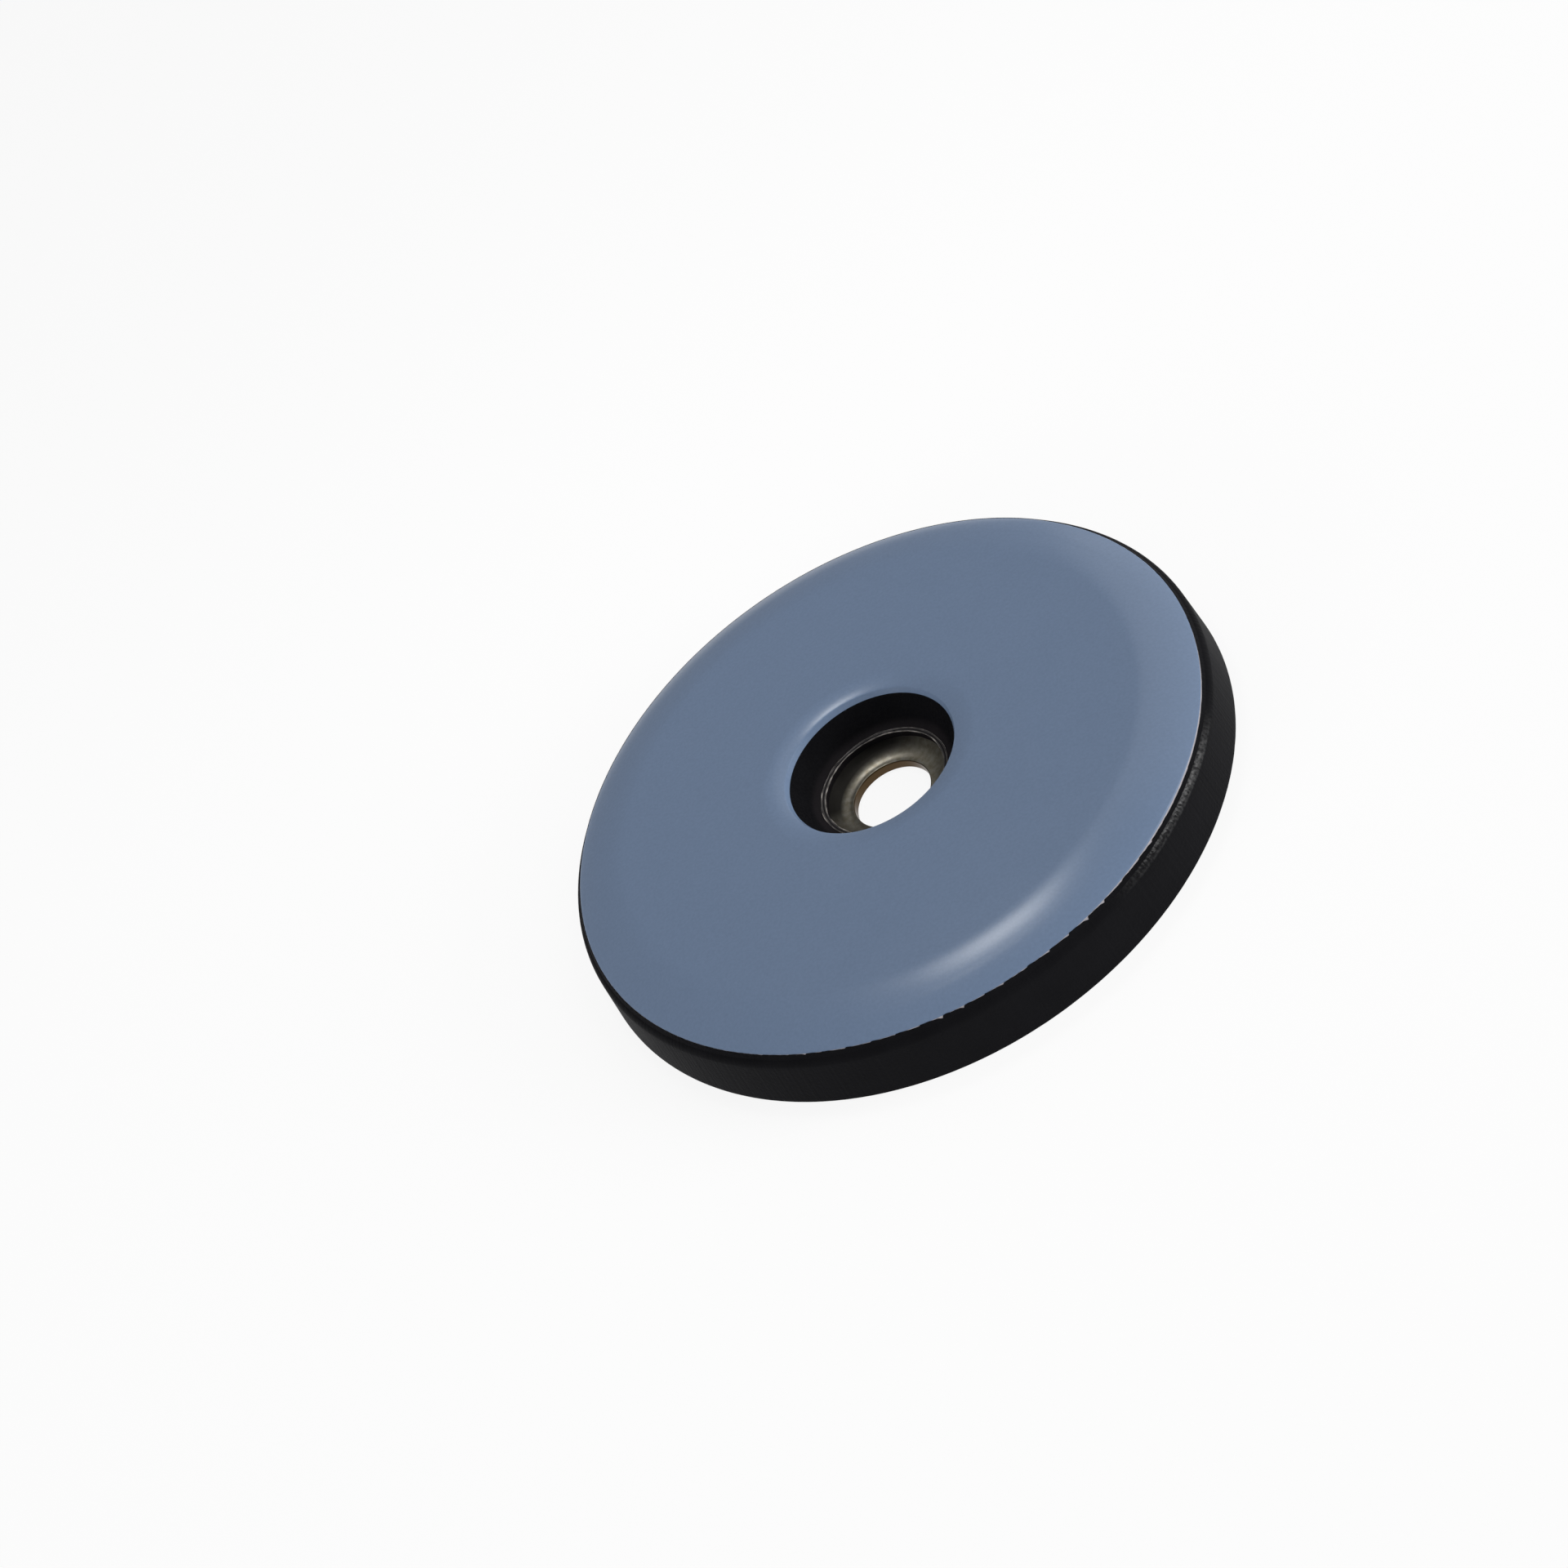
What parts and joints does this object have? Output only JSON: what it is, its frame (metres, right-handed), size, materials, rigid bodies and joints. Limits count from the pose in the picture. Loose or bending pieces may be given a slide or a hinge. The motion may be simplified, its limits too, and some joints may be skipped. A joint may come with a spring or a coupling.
{
  "type": "furniture glide",
  "caption": "Round screw-on furniture glide: a blue-grey PTFE sliding pad on a black rubber base, with a pressed steel cup for a countersunk screw in its central well.",
  "frame": {"origin": "centre of the back face, on the screw's axis", "axes": "+Z along the screw's axis, from the back face to the sliding face; the glide lies on its back"},
  "size_m": [0.05, 0.05, 0.005],
  "materials": {
    "ptfe": "satin, blue-grey",
    "rubber": "satin, black",
    "steel": "plain pressed, dull"
  },
  "bodies": {
    "root": {"sliding_pad": "ptfe", "rubber_base": "rubber", "screw_cup": "steel"}
  },
  "joints": []
}
